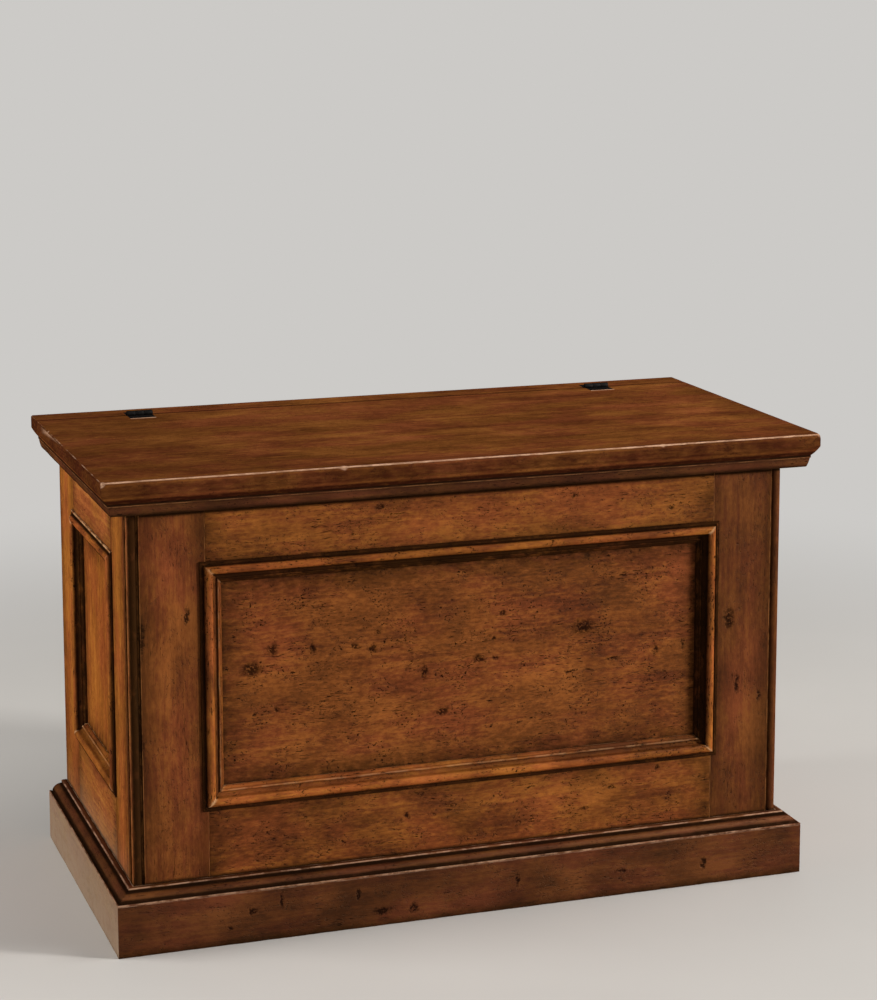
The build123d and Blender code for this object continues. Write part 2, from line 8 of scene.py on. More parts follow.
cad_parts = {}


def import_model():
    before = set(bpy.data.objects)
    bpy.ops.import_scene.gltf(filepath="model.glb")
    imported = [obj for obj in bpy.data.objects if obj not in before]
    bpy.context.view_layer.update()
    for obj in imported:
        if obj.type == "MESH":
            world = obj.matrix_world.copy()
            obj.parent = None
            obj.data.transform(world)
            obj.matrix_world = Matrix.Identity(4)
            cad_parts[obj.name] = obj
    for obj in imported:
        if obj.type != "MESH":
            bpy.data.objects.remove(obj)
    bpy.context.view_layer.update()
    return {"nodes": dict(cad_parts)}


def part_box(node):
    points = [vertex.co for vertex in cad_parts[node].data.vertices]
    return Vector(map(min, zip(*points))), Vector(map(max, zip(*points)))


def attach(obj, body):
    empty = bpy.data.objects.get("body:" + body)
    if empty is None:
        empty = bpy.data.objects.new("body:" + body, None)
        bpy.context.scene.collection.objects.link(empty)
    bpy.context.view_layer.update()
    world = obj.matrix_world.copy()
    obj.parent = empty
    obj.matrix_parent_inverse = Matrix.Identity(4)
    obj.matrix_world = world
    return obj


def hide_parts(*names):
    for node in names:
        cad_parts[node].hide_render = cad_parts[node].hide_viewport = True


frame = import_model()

MM = 0.001
X, Y, Z = Vector((1, 0, 0)), Vector((0, 1, 0)), Vector((0, 0, 1))
AXES = (X, Y, Z)

# ---------- places from the frame
LEFT_STILE_LOW, LEFT_STILE_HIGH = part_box("front_left_stile")
BACK_RAIL_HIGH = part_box("back_top_rail")[1]
FRONT_FACE = LEFT_STILE_LOW.y
BACK_FACE = BACK_RAIL_HIGH.y
HALF_WIDTH = -LEFT_STILE_LOW.x
STILE_EDGE = -LEFT_STILE_HIGH.x
RIM = LEFT_STILE_HIGH.z
LID_LOW, LID_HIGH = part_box("lid_board")
BATTEN_LOW, BATTEN_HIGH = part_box("rear_batten")
WALL = LEFT_STILE_HIGH.y - FRONT_FACE
CORNICE_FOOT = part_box("cornice_front")[0].z
PLINTH_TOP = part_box("plinth_moulding_front")[1].z

# ---------- how finely the pieces are drawn
STATION = 6 * MM            # spacing of a piece's rings along its length
SIDE_STEP = 14 * MM         # spacing of the points across a board's faces
PANEL_STEP = 4 * MM         # the same on a panel
NEAR_EDGE = 2 * MM, 5 * MM, 10 * MM     # distances of the outermost points from a face's edges
OUTLINE_STEP = 0.7 * MM     # spacing of the points round a moulding's section
ARC_POINTS = 5              # points on a board's rounded corner
SHARP = math.radians(50)    # edges that turn more than this are shaded as arrises
QUARTER_BULGE = 1 - math.sqrt(0.5)      # bulge of a quarter circle, as a share of its radius

# ---------- how the pieces are worn and darkened
ARRIS = 0.7 * MM            # least rounding of a board's edges
ARRIS_WEAR = 1.6 * MM       # what wear adds to it in places
FRAME_WEAR = 0.3 * MM       # the same in a frame, where boards meet
WEAR_REACH = 5 * MM         # how far from its edges and ends a board's faces are rubbed
BOARD_RUBS = 45 * MM, 11 * MM       # lengths of the long and the short worn stretches along edges
MOULDING_RUBS = 26 * MM, 7 * MM
LID_RUBS = 38 * MM, 8 * MM
RUB = 0.5 * MM              # what wear takes off a moulding's edges
LID_RUB = 0.45 * MM         # what it takes off the lid's edges
KNOCK = {1: 7 * MM, -1: 60 * MM}    # reach of knocks from a moulding's inner and outer mitres
WAVE = 0.16 * MM            # unevenness of planed faces
WAVE_LENGTH = 90 * MM
PATINA = 0.55               # how much a board's faces darken at their edges
PATINA_REACH = 38 * MM      # how far from them
PANEL_RIM_SHADE = 0.85            # how dark the painted shade on a panel is right beside its mouldings
RIM_REACH = 11 * MM         # how far from them
PANEL_COVER = 30 * MM       # edge of a panel that its grooves and mouldings cover
GRIME_DEPTH = 1.6 * MM      # depth of a hollow full of dark wax


# ---------- meshes
def uneven(point, seed, length):
    """Smooth noise from about -1 to 1 at a point, with features of the given length."""
    return noise.noise(point / length + Vector((seed * 17.3, seed * 5.1, -seed * 9.7)))


def waved(point, seed):
    """The point, moved as hand planing moves a surface."""
    return point + Vector([uneven(point, seed + axis * 2.3, WAVE_LENGTH) for axis in range(3)]) * WAVE


def smooth(value):
    value = max(0.0, min(1.0, value))
    return value * value * (3 - 2 * value)


def make_piece(name, rings, nodes, body, material):
    """A closed piece from rings of (point, wear_and_highlight, grime_and_shade), the last two as mesh
    attributes.
    """
    size = len(rings[0])
    points, wear_and_highlight, grime_and_shade = zip(*[place for ring in rings for place in ring])
    faces = [list(range(size))[::-1], list(range(len(points) - size, len(points)))]
    for start in range(0, len(points) - size, size):
        for i in range(size):
            j = (i + 1) % size
            faces.append((start + i, start + j, start + size + j, start + size + i))
    mesh = bpy.data.meshes.new(name)
    mesh.from_pydata(points, [], faces)
    mesh.update()
    if sum(face.center.dot(face.normal) * face.area for face in mesh.polygons) < 0:
        mesh.flip_normals()
    board = random.Random(name).random()
    fields = {"wear_and_highlight": wear_and_highlight, "grime_and_shade": grime_and_shade, "board": [board] * len(points)}
    for field, values in fields.items():
        mesh.attributes.new(field, "FLOAT", "POINT").data.foreach_set("value", values)
    mesh.polygons.foreach_set("use_smooth", [len(face.vertices) == 4 for face in mesh.polygons])
    mesh.set_sharp_from_angle(angle=SHARP)
    mesh.materials.append(material)
    piece = bpy.data.objects.new(name, mesh)
    bpy.context.scene.collection.objects.link(piece)
    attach(piece, body)
    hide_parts(*nodes)


def stations(start, end, step=STATION):
    """Evenly spaced values from start to end."""
    count = max(2, round((end - start) / step))
    return [start + (end - start) * i / count for i in range(count + 1)]


# ---------- planed boards
def board_ring(u0, u1, v0, v1, radii, inset, step):
    """A rounded rectangle as (u, v, wear and highlight) points, counter-clockwise from its lower left
    corner.
    """
    points = []
    corners = ((u0, v0, 1, 1), (u1, v0, -1, 1), (u1, v1, -1, -1), (u0, v1, 1, -1))
    for k, (u, v, su, sv) in enumerate(corners):
        radius = radii[k]
        cu, cv = u + su * (radius + inset), v + sv * (radius + inset)
        first = math.pi + k * math.pi / 2
        for i in range(ARC_POINTS):
            angle = first + math.pi / 2 * i / (ARC_POINTS - 1)
            points.append((cu + radius * math.cos(angle), cv + radius * math.sin(angle), 1.0))
        u2, v2 = corners[(k + 1) % 4][:2]
        length = abs(u2 - u) + abs(v2 - v)
        inner = [d for d in NEAR_EDGE if d < 0.3 * length]
        middle = []
        if len(inner) == len(NEAR_EDGE):
            span = length - 2 * NEAR_EDGE[-1]
            count = max(1, round(span / step))
            middle = [NEAR_EDGE[-1] + span * i / count for i in range(1, count)]
        du, dv = (u2 - u) / length, (v2 - v) / length
        for d in inner + middle + [length - d for d in inner[::-1]]:
            worn = max(0.0, 1 - min(d, length - d) / WEAR_REACH)
            points.append((u + du * d - dv * inset, v + dv * d + du * inset, 0.5 * worn))
    return points


def plank(name, low, high, axis, material, slot, covered=0.0, rim_shade=0.0, step=SIDE_STEP, wear_and_highlight=ARRIS_WEAR):
    """A planed board with rounded, unevenly worn edges, along the given axis.

    Its faces darken towards their edges, and rim_shade paints shade right beside them, both counted from
    what is covered.
    """
    seed = random.Random(name).random() * 10
    share = min(1.0, wear_and_highlight / ARRIS_WEAR)
    across, up = (axis + 1) % 3, (axis + 2) % 3
    a, b, c = AXES[axis], AXES[across], AXES[up]
    u0, u1, v0, v1 = low[across], high[across], low[up], high[up]
    start, end = low[axis], high[axis]
    ends = [ARRIS * (1 - math.cos(math.pi / 2 * i / 3)) for i in range(3)]
    middle = stations(start + ARRIS, end - ARRIS, min(STATION, step))
    rings = []
    for s in [start + d for d in ends] + middle + [end - d for d in ends[::-1]]:
        depth = min(s - start, end - s)
        inset = ARRIS - math.sqrt(max(0.0, ARRIS ** 2 - (ARRIS - depth) ** 2)) if depth < ARRIS else 0.0
        end_wear = max(0.0, 1 - depth / WEAR_REACH)
        radii = []
        for k in range(4):
            rub = uneven(a * s + b * (k * 0.31), seed + k, BOARD_RUBS[0]) * 0.6
            rub += uneven(a * s + b * (k * 0.17), seed - k, BOARD_RUBS[1]) * 0.4
            radii.append(ARRIS + wear_and_highlight * max(0.0, rub) * 1.6)
        ring = []
        for u, v, worn in board_ring(u0, u1, v0, v1, radii, inset, step):
            shown = min(depth, max(min(u - u0, u1 - u), min(v - v0, v1 - v))) - covered
            dark = PATINA * (1 - smooth(shown / PATINA_REACH))
            # Painted shade right beside a panel's mouldings.
            dark = max(dark, rim_shade * (1 - smooth(shown / RIM_REACH)))
            ring.append((waved(a * s + b * u + c * v, seed), share * max(worn, end_wear), dark))
        rings.append(ring)
    make_piece(name, rings, [name], "chest", material)


# ---------- sections of mouldings
def line(*points):
    """Straight lines through the points, sampled finely, without the last point."""
    out = []
    for (x0, y0), (x1, y1) in zip(points, points[1:]):
        count = max(1, round(math.hypot(x1 - x0, y1 - y0) / OUTLINE_STEP))
        out += [(x0 + (x1 - x0) * i / count, y0 + (y1 - y0) * i / count) for i in range(count)]
    return out


def arc(x0, y0, x1, y1, sag):
    """An arc that bulges by sag to the left of its direction, sampled finely, without its end."""
    chord = math.hypot(x1 - x0, y1 - y0)
    mx, my = (x0 + x1) / 2, (y0 + y1) / 2
    nx, ny = -(y1 - y0) / chord, (x1 - x0) / chord
    size = abs(sag)
    radius = (chord ** 2 / 4 + size ** 2) / (2 * size)
    toward = 1 if sag > 0 else -1
    cx, cy = mx + nx * toward * (size - radius), my + ny * toward * (size - radius)
    first = math.atan2(y0 - cy, x0 - cx)
    turn = -toward * 2 * math.acos(max(-1.0, (radius - size) / radius))
    count = max(3, round(abs(turn) * radius / OUTLINE_STEP))
    angles = [first + turn * i / count for i in range(count)]
    return [(cx + radius * math.cos(angle), cy + radius * math.sin(angle)) for angle in angles]


def outline_wear(outline):
    """1 where a closed outline turns outwards sharply, 0 where it is flat and -1 where it turns inwards."""
    reach = 2
    count = len(outline)
    area = sum(x0 * y1 - x1 * y0 for (x0, y0), (x1, y1) in zip(outline, outline[1:] + outline[:1]))
    turned = []
    for i in range(count):
        (ax, ay), (bx, by), (cx, cy) = outline[i - reach], outline[i], outline[(i + reach) % count]
        cross = (bx - ax) * (cy - by) - (by - ay) * (cx - bx)
        dot = (bx - ax) * (cx - bx) + (by - ay) * (cy - by)
        turned.append(math.atan2(cross, dot) * (1 if area > 0 else -1))
    return [max(-1.0, min(1.0, turn)) for turn in turned]


def hull(outline):
    """The convex hull of the points, counter-clockwise."""
    points = sorted(set(outline))
    sides = []
    for ordered in (points, points[::-1]):
        side = []
        for x, y in ordered:
            while len(side) > 1:
                (ax, ay), (bx, by) = side[-2:]
                if (bx - ax) * (y - ay) - (by - ay) * (x - ax) > 0:
                    break
                side.pop()
            side.append((x, y))
        sides.append(side[:-1])
    return sides[0] + sides[1]


def outline_grime(outline):
    """How deep each point lies in a hollow of the outline: 0 on its convex hull, 1 at GRIME_DEPTH."""
    around = hull(outline)
    depths = []
    for x, y in outline:
        gap = 1.0
        for (ax, ay), (bx, by) in zip(around, around[1:] + around[:1]):
            side = math.hypot(bx - ax, by - ay)
            gap = min(gap, abs((bx - ax) * (y - ay) - (by - ay) * (x - ax)) / side)
        depths.append(smooth(gap / GRIME_DEPTH))
    return depths


# Sections in metres: x runs out from the wall or towards the panel, y is up or out of the frame's face.
def panel_moulding_section():
    edge, border, quirk, quirk_depth, main, crest = 2.2 * MM, 3.6 * MM, 1.6 * MM, 1.4 * MM, 12 * MM, 6 * MM
    hollow, bead, bead_foot, step = 5.6 * MM, 3.2 * MM, 3.4 * MM, 0.6 * MM
    width, rebate, setback = 30 * MM, 8.3 * MM, 9 * MM
    foot = edge - quirk_depth
    main_start = border + quirk
    main_end = main_start + main
    bead_start = main_end + hollow
    bead_end = bead_start + bead
    outline = line((width, -setback), (rebate, -setback), (rebate, 0), (0, 0), (0, edge), (border, edge),
                   (border, foot), (main_start, foot))
    outline += arc(main_start, foot, main_end, foot, crest)
    outline += arc(main_end, foot, bead_start, -bead_foot, -1.4 * MM)
    outline += arc(bead_start, -bead_foot, bead_end, -bead_foot, bead / 2)
    outline += line((bead_end, -bead_foot), (bead_end, -bead_foot - step))
    outline += arc(bead_end, -bead_foot - step, width, -setback, 1.1 * MM)
    return outline


def cornice_section():
    height, reach, foot, fillet, lip, swell = 16.5 * MM, 28.7 * MM, 24.2 * MM, 3.5 * MM, 1 * MM, 0.5 * MM
    outline = line((foot, 0), (0, 0), (0, height), (reach, height), (reach, height - fillet),
                   (reach - lip, height - fillet))
    outline += arc(reach - lip, height - fillet, foot, 0, swell)
    return outline


def plinth_moulding_section():
    top, out, nose, radius, step, ledge = 16 * MM, 26 * MM, 8 * MM, 1.5 * MM, 11.5 * MM, 1.6 * MM
    swell, foot, fillet, edge, quirk = 2.8 * MM, 4.4 * MM, 3.2 * MM, 2 * MM, 1 * MM
    outline = line((nose - radius, top), (0, top), (0, 0), (out, 0), (out, edge), (out - fillet, edge),
                   (out - fillet, edge - quirk), (out - foot, edge - quirk))
    outline += arc(out - foot, edge - quirk, nose + ledge, step, -swell)
    outline += line((nose + ledge, step), (nose, step), (nose, top - radius))
    outline += arc(nose, top - radius, nose - radius, top, -QUARTER_BULGE * radius)
    return outline


def moulding_dirt_and_shade(x, y, deep, crown, foot, head_shade, painted_shade):
    """How dark a moulding is at (x, y) of its section, where deep is how deep in a hollow that lies."""
    dark = max(deep, 0.8 * smooth(1 - y / foot) if foot else 0.0)
    # Painted shade on the highest part, under the lid.
    if head_shade:
        dark = max(dark, smooth(1.4 - (crown - y) / head_shade))
    # Painted shadow on the outer fillet, and painted shade on the inner slope.
    if painted_shade:
        first, last, beyond = painted_shade
        dark = max(min(dark, 0.15 + beyond), smooth((first - x) / (1.5 * MM)),
                   beyond * smooth((x - last) / (3 * MM)))
    return dark


def moulding(name, outline, start, end, across, out, leans, material, foot=0.0,
             head_shade=0.0, painted_shade=None, edge_glint=0.0):
    """A moulding from start to end, with its section's x along across and y along out.

    A lean of 1 is a mitre that shortens the piece with the section's x, and -1 one that lengthens it.
    Dirt darkens its hollows, and it is darker at its lowest foot; head_shade paints shade on its highest
    part.
    With painted_shade, as (first, last, beyond), it gets painted shadow below the first x, and by beyond
    painted shade above the last. Knocks have worn it near its mitres, partly shown as painted highlight,
    and edge_glint is the strength of a painted highlight all along its outer edge.
    """
    seed = random.Random(name).random() * 10
    along = (end - start).normalized()
    length = (end - start).length
    turned = outline_wear(outline)
    centre = [sum(p[i] for p in outline) / len(outline) for i in (0, 1)]
    crown = max(y for _, y in outline)
    dirt_and_shade = [moulding_dirt_and_shade(x, y, deep, crown, foot, head_shade, painted_shade)
            for (x, y), deep in zip(outline, outline_grime(outline))]
    edge_share, knock_share = (0.65, 0.6) if painted_shade else (1.0, 0.2)
    rings = []
    for s in stations(0.0, length, STATION * 0.7):
        ring = []
        by_mitre = [smooth(1 - gap / KNOCK[lean]) for gap, lean in zip((s, length - s), leans) if lean]
        knocked = max(by_mitre, default=0.0)
        for (x, y), turn, dark in zip(outline, turned, dirt_and_shade):
            first, last = leans[0] * x, length - leans[1] * x
            point = start + along * (first + (last - first) * s / length) + across * x + out * y
            worn = 0.2 + max(0.0, uneven(point, seed, MOULDING_RUBS[0])) * 1.5
            worn += max(0.0, uneven(point, seed + 3, MOULDING_RUBS[1])) * 0.8
            worn *= max(0.0, turn)
            inwards = (across * (centre[0] - x) + out * (centre[1] - y)).normalized()
            shown = max(turn * (1 - 0.7 * dark) * edge_share,
                        knocked * (knock_share + max(0.0, turn)) * (1 - dark))
            # A painted highlight along the outer edge.
            if y > 0:
                shown = max(shown, edge_glint * smooth(2 - x / (1.6 * MM)))
            ring.append((waved(point + inwards * worn * RUB, seed), shown, dark))
        rings.append(ring)
    make_piece(name, rings, [name], "chest", material)


# ---------- materials
class Graph:
    """A material's node tree, with short ways to add nodes to it."""

    def __init__(self, name):
        self.material = bpy.data.materials.new(name)
        self.material.use_nodes = True
        self.tree = self.material.node_tree
        self.tree.nodes.clear()

    def add(self, kind, inputs=None, output=0, **settings):
        node = self.tree.nodes.new(kind)
        for key, value in settings.items():
            setattr(node, key, value)
        for key, value in (inputs or {}).items():
            if isinstance(value, bpy.types.NodeSocket):
                self.tree.links.new(value, node.inputs[key])
            else:
                node.inputs[key].default_value = value
        return node.outputs[output]

    def math(self, operation, a, b=0.0, c=0.0, clamp=False):
        return self.add("ShaderNodeMath", {0: a, 1: b, 2: c}, operation=operation, use_clamp=clamp)

    def vector(self, operation, a, b=(0, 0, 0), output=0):
        return self.add("ShaderNodeVectorMath", {0: a, 1: b}, output, operation=operation)

    def shift(self, colour, reach):
        """A colour of noise as a vector about zero, up to half of reach either way."""
        return self.vector("MULTIPLY", self.vector("SUBTRACT", colour, (0.5, 0.5, 0.5)), reach)

    def noise(self, vector, size, detail=3.0, roughness=0.55, output="Fac"):
        """Noise with features of the given size in millimetres, along the grain and across it."""
        scale = (1 / (size[0] * MM), 1 / (size[1] * MM), 1 / (size[1] * MM))
        scaled = self.vector("MULTIPLY", vector, scale)
        return self.add("ShaderNodeTexNoise", {"Vector": scaled, "Scale": 1.0, "Detail": detail,
                                               "Roughness": roughness}, output)

    def fade(self, value, low, high, to_low=0.0, to_high=1.0):
        return self.add("ShaderNodeMapRange", {0: value, 1: low, 2: high, 3: to_low, 4: to_high},
                        interpolation_type="SMOOTHSTEP")

    def mix(self, factor, a, b):
        return self.add("ShaderNodeMix", {0: factor, 6: a, 7: b}, 2, data_type="RGBA")

    def ramp(self, value, stops):
        result = self.add("ShaderNodeValToRGB", {0: value})
        elements = result.node.color_ramp.elements
        while len(elements) < len(stops):
            elements.new(0.5)
        for element, (position, colour) in zip(elements, stops):
            element.position = position
            element.color = colour
        return result

    def weighed(self, parts, base=0.5):
        """base plus each part's distance from its middle value, times its weight."""
        total = base
        for value, weight in parts:
            total = self.math("ADD", self.math("MULTIPLY_ADD", value, weight, -0.5 * weight), total)
        return total

    def finish(self, colour, roughness, height, distance, shine, tint=(1.0, 1.0, 1.0, 1.0)):
        """Ends the tree in a matt surface with a share of shine, which doesn't grow at grazing angles."""
        bump = self.add("ShaderNodeBump", {"Strength": 1.0, "Distance": distance, "Height": height})
        matt = self.add("ShaderNodeBsdfPrincipled", {"Base Color": colour, "Roughness": roughness,
                                                     "Normal": bump, "Specular IOR Level": 0.0})
        polish = self.add("ShaderNodeBsdfGlossy", {"Color": tint, "Roughness": roughness, "Normal": bump})
        self.end(self.add("ShaderNodeMixShader", {0: shine, 1: matt, 2: polish}))
        return self.material

    def end(self, shader):
        output = self.tree.nodes.new("ShaderNodeOutputMaterial")
        self.tree.links.new(shader, output.inputs[0])


def srgb(red, green, blue):
    """A colour given as 0 to 255 in sRGB, as linear light."""
    linear = [((v / 255 + 0.055) / 1.055) ** 2.4 if v > 10 else v / 255 / 12.92 for v in (red, green, blue)]
    return (*linear, 1.0)


def tinted(colour, red, green, blue):
    return (colour[0] * red, colour[1] * green, colour[2] * blue, 1.0)


def tones(colour):
    """Stops for a ramp with the colour in its middle."""
    return ((0.2, tinted(colour, 0.40, 0.36, 0.36)), (0.5, colour), (0.8, tinted(colour, 1.75, 1.9, 2.0)))


# The grime colours below colour dirt and painted shade alike.
GRIME_AND_SHADE = srgb(40, 25, 11)
SOOT = srgb(22, 12, 8)
# The next four are colours of worn edges, light enough to carry painted highlights as well as real wear.
RUBBED_AND_LIT = srgb(172, 112, 62)
CHAFED_AND_LIT = srgb(206, 164, 134)
TAN = srgb(150, 104, 66)
CREAM = srgb(214, 170, 124)
RED_GRIME_AND_SHADE = srgb(48, 20, 11)
BLACK_GRIME_AND_SHADE = srgb(30, 18, 9)
WAX = (1.0, 0.62, 0.36, 1.0)    # tint of the wax's shine
# Pale colour of a painted reflection of the floor.
GLARE = srgb(150, 128, 108)

MARK_DEPTH = 20 * MM        # a mark's radius along Y
MARK_TEAR = 14 * MM         # how far its outline is torn
SKIN = 5 * MM               # how far behind its faces the chest's outside reaches


def marks_mask(g, place, marks):
    """1 inside each mark (centre, radius along X, radius along Z) and 0 well outside it."""
    torn = g.shift(g.noise(place, (9, 9), 3.0, 0.7, "Color"), (MARK_TEAR, MARK_TEAR, MARK_TEAR))
    here = g.vector("ADD", place, torn)
    crumbs = g.fade(g.noise(place, (3.6, 3.0), 2.0, 0.7), 0.38, 0.50, 0.4, 1.0)
    total = 0.0
    for centre, across, up in marks:
        away = g.vector("DIVIDE", g.vector("SUBTRACT", here, centre), (across, MARK_DEPTH, up))
        inside = g.fade(g.vector("LENGTH", away, output=1), 2.5, 0.8)
        total = g.math("MAXIMUM", total, inside)
    return g.math("MULTIPLY", total, crumbs)


def painted_contact_shade(g, parts):
    """Painted shade on the chest's outside, just below the cornice and just above the plinth's moulding."""
    front = g.math("LESS_THAN", parts[1], FRONT_FACE + SKIN)
    side = g.math("GREATER_THAN", g.math("ABSOLUTE", parts[0]), HALF_WIDTH - SKIN)
    below = g.fade(parts[2], CORNICE_FOOT - 11 * MM, CORNICE_FOOT - 7 * MM)
    above = g.fade(parts[2], PLINTH_TOP + 5 * MM, PLINTH_TOP)
    return g.math("MULTIPLY", g.math("MAXIMUM", front, side), g.math("MAXIMUM", below, above))


def wood(name, grain, base, figure=0.45, mottle=0.35, patches=0.5, dashes=0.8, specks=0.6, rubbed=0.4,
         rough=0.42, floor_glare=0.0, marks=(), shine=0.022, edge=RUBBED_AND_LIT, steady=0.12, soil_and_shade=GRIME_AND_SHADE,
         smudges=(22, 13), gold=0.0, shade_outside=False, kept=0.45, spread=1.0):
    """Old stained and waxed wood with its grain along X, Y or Z.

    figure, mottle and patches are the strengths of its streaks, small blotches and large ones, and dashes
    and specks those of its pores and worm holes. spread is how much its hue varies, and gold makes it
    yellower. Its dirt and painted shade have the colour soil_and_shade, and kept is the least share of it
    that shows. Its worn edges, real wear with painted highlights, have the colour edge, the strength rubbed
    and the least share steady. smudges is the size of the patches in both, in millimetres. floor_glare
    pales it near the floor as a painted reflection, and shade_outside paints shade on its outside.
    """
    g = Graph(name)
    place = g.add("ShaderNodeTexCoord", output="Object")
    board, wear_and_highlight, grime_and_shade = (g.add("ShaderNodeAttribute", output="Fac", attribute_name=field)
                          for field in ("board", "wear_and_highlight", "grime_and_shade"))
    parts = g.add("ShaderNodeSeparateXYZ", {0: place}).node.outputs
    order = {"X": (0, 1, 2), "Y": (1, 0, 2), "Z": (2, 0, 1)}[grain]
    turned = g.add("ShaderNodeCombineXYZ", {i: parts[k] for i, k in enumerate(order)})
    own = g.math("MULTIPLY", board, 7.0)
    moved = g.vector("ADD", turned, g.add("ShaderNodeCombineXYZ", {0: own, 1: own, 2: own}))
    bend = g.shift(g.noise(moved, (190, 60), 2.0, output="Color"), (40 * MM, 14 * MM, 14 * MM))
    bent = g.vector("ADD", moved, bend)

    # Tone and hue
    broad = g.noise(moved, (240, 95), 2.0)
    patch = g.noise(moved, (80, 44), 4.0, 0.6)
    streak = g.noise(bent, (170, 5), 4.0, 0.6)
    mottled = g.noise(bent, (10, 4.6), 3.0, 0.65)
    fibre = g.noise(bent, (26, 0.8), 2.0, 0.6)
    tone = g.weighed(((broad, 0.6 * patches), (patch, patches), (streak, figure), (mottled, mottle),
                      (fibre, 0.22), (board, 0.05)))
    golden = g.ramp(tone, tones(tinted(base, 1 + 0.06 * spread, 1 + 0.15 * spread, 1 - 0.05 * spread)))
    reddish = g.ramp(tone, tones(tinted(base, 1 - 0.02 * spread, 1 - 0.16 * spread, 1.0)))
    hue = g.weighed(((g.noise(moved, (120, 60), 3.0), 1.0), (streak, 0.5), (mottled, 0.5)), 0.5 + gold)
    colour = g.mix(g.fade(hue, 0.36, 0.64), reddish, golden)

    # Pores, worm holes and marks, with more of the first two in groups and nests
    groups = g.fade(g.noise(moved, (60, 38), 2.0), 0.47, 0.62)
    dash = g.fade(g.noise(bent, (12, 1.4), 2.0, 0.7), 0.58, 0.69)
    dash = g.math("MULTIPLY", dash, g.fade(groups, 0.0, 1.0, 0.25 * dashes, dashes))
    nests = g.fade(g.noise(moved, (34, 28), 2.0), 0.46, 0.62)
    speck = g.fade(g.noise(moved, (4.6, 3.0), 3.0, 0.75), 0.54, 0.66)
    speck = g.math("MULTIPLY", speck, g.fade(nests, 0.0, 1.0, 0.15 * specks, specks))
    pits = g.math("MAXIMUM", dash, speck)
    if marks:
        pits = g.math("MAXIMUM", pits, marks_mask(g, place, marks))
    colour = g.mix(g.math("MULTIPLY", pits, 0.9), colour, SOOT)

    # Dirt with painted shade, worn edges with painted highlights, and a painted reflection of the floor
    smudge = g.noise(moved, smudges, 4.0, 0.65)
    # Ambient occlusion darkens the colour in corners and recesses: painted shade.
    shade = g.add("ShaderNodeAmbientOcclusion", {"Distance": 9 * MM}, "AO", samples=5)
    dirt_and_shade = g.math("MULTIPLY", grime_and_shade, g.fade(smudge, 0.30, 0.62, kept, 1.2), clamp=True)
    dirt_and_shade = g.math("MAXIMUM", g.fade(shade, 0.86, 0.42), dirt_and_shade)
    # Painted shade just below the cornice and just above the plinth's moulding.
    if shade_outside:
        dirt_and_shade = g.math("MAXIMUM", dirt_and_shade, painted_contact_shade(g, parts))
    colour = g.mix(g.math("MULTIPLY", dirt_and_shade, 0.93), colour, soil_and_shade)
    # Worn edges are lighter: real wear with a painted highlight.
    worn = g.math("MULTIPLY", g.fade(wear_and_highlight, 0.25, 0.9), g.fade(smudge, 0.40, 0.60, steady, 1.0))
    colour = g.mix(g.math("MULTIPLY", worn, rubbed), colour, edge)
    # A painted reflection of the floor, paler towards it.
    if floor_glare:
        low = g.fade(parts[2], 150 * MM, 0.0, 0.0, floor_glare)
        colour = g.mix(g.math("MULTIPLY", low, g.fade(smudge, 0.3, 0.6, 0.7, 1.0)), colour, GLARE)

    # Surface
    roughness = g.math("MULTIPLY_ADD", fibre, 0.14, rough - 0.07)
    roughness = g.math("MULTIPLY_ADD", dirt_and_shade, 0.2, roughness)
    roughness = g.math("MULTIPLY_ADD", worn, -0.08, roughness)
    height = g.weighed(((fibre, 0.16), (streak, 0.16), (mottled, 0.2), (pits, -0.7)))
    shine = g.math("MULTIPLY", shine, g.math("SUBTRACT", 1.0, g.math("MAXIMUM", dirt_and_shade, pits)))
    return g.finish(colour, roughness, height, 0.6 * MM, shine, WAX)


def woods(name, axes, *settings, **more):
    """The same wood with its grain along each of the axes."""
    return {axis: wood(f"{name}_{axis}", axis, *settings, **more) for axis in axes}


def iron(name):
    """Black hand-worked iron."""
    g = Graph(name)
    place = g.add("ShaderNodeTexCoord", output="Object")
    spots = g.noise(place, (4, 4), 4.0)
    fine = g.noise(place, (0.7, 0.7), 2.0)
    colour = g.ramp(spots, ((0.35, srgb(8, 7, 7)), (0.62, srgb(15, 13, 12)), (0.8, srgb(40, 28, 21))))
    roughness = g.math("MULTIPLY_ADD", spots, 0.3, 0.4)
    height = g.math("MULTIPLY_ADD", fine, 0.4, spots)
    return g.finish(colour, roughness, height, 0.25 * MM, 0.006)


def marks_at(y, *places):
    """Marks on the face at y, from (x, z, radius along X, radius along Z) in millimetres."""
    return [((x * MM, y, z * MM), across * MM, up * MM) for x, z, across, up in places]


PANEL_MARKS = marks_at(
    FRONT_FACE,
    (-208, 371, 2.5, 4), (-150, 368, 4, 2.5), (-127, 364, 4, 3.5), (-290, 350, 8, 5), (-262, 374, 5, 5),
    (-256, 294, 2.5, 2), (-286, 291, 2, 2), (-33, 270, 6, 4), (-57, 325, 3, 6), (-120, 386, 2.5, 2),
    (172, 463, 2.5, 2), (52, 395, 3, 2), (39, 362, 2, 2), (19, 336, 5, 3), (41, 336, 3, 1.5),
    (166, 367, 9, 6), (270, 326, 2, 5), (208, 319, 6, 1.2), (147, 308, 6, 1.2), (312, 330, 2, 4))
RAIL_MARKS = marks_at(
    FRONT_FACE,
    (287, 523, 3, 2), (272, 164.5, 2.2, 2.2), (-84, 137, 3, 2), (205, 143, 3, 1.5), (168, 118, 4, 1.5),
    (-120, 552, 4, 2), (150, 548, 3, 2))
